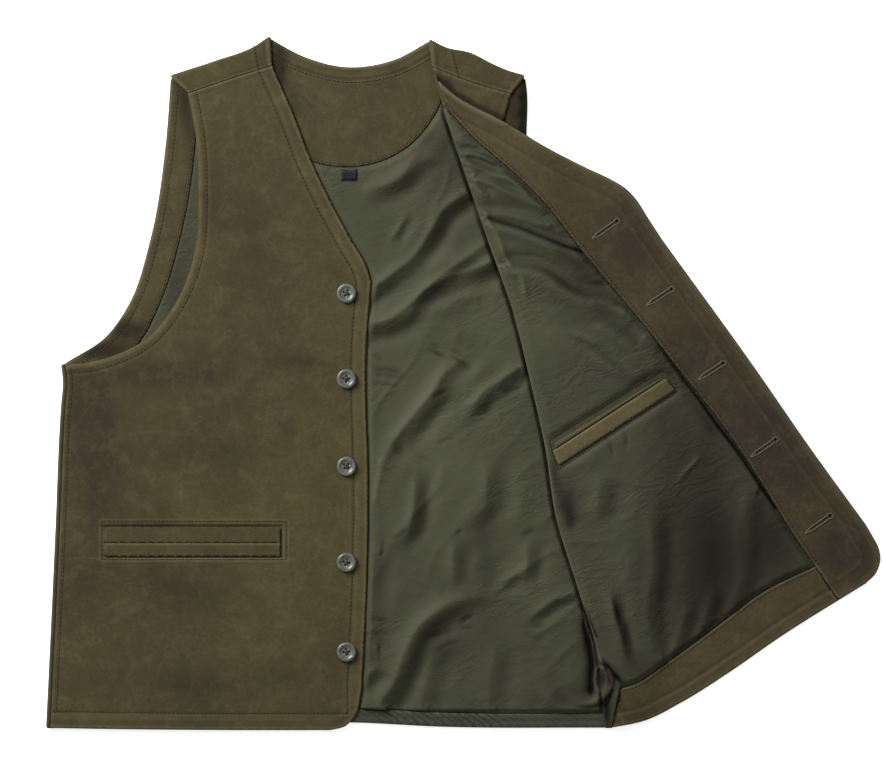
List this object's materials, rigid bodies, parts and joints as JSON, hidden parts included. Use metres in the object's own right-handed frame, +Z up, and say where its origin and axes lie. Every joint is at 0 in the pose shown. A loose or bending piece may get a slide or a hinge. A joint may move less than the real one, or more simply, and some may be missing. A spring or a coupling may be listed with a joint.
{
  "type": "leather gilet",
  "caption": "Nubuck leather gilet laid flat on its back, one front closed over buttons, the other turned back to show its lining, facing, buttonholes and inner pocket.",
  "frame": {"origin": "centre of the laid-out garment's box, on the surface that it lies on", "axes": "+Z up from the surface, +Y from the hem to the neck, +X to the side of the wearer's left front, which is turned back"},
  "size_m": [0.8103, 0.674, 0.0136],
  "materials": {
    "nubuck": "olive-brown nubuck with a short soft nap",
    "satin": "dark olive-green satin lining with a soft sheen",
    "twill": "dark olive-green twill, matt",
    "ribbon": "black woven ribbon, bare",
    "horn": "grey-green horn-like button, half gloss"
  },
  "bodies": {
    "root": {"back_panel": "nubuck", "back_lining": "satin", "back_neck_facing": "nubuck", "back_armhole_facing_left": "nubuck", "back_armhole_facing_right": "nubuck", "back_hem_band": "twill", "size_tab": "ribbon", "front_right": "nubuck", "pocket_welt_upper": "nubuck", "pocket_welt_lower": "nubuck", "front_left": "nubuck", "front_left_lining": "satin", "front_left_facing": "nubuck", "front_left_hem_facing": "nubuck", "inner_pocket_welt": "nubuck", "inner_pocket_strip": "nubuck", "button_1": "horn", "button_2": "horn", "button_3": "horn", "button_4": "horn", "button_5": "horn"}
  },
  "joints": []
}
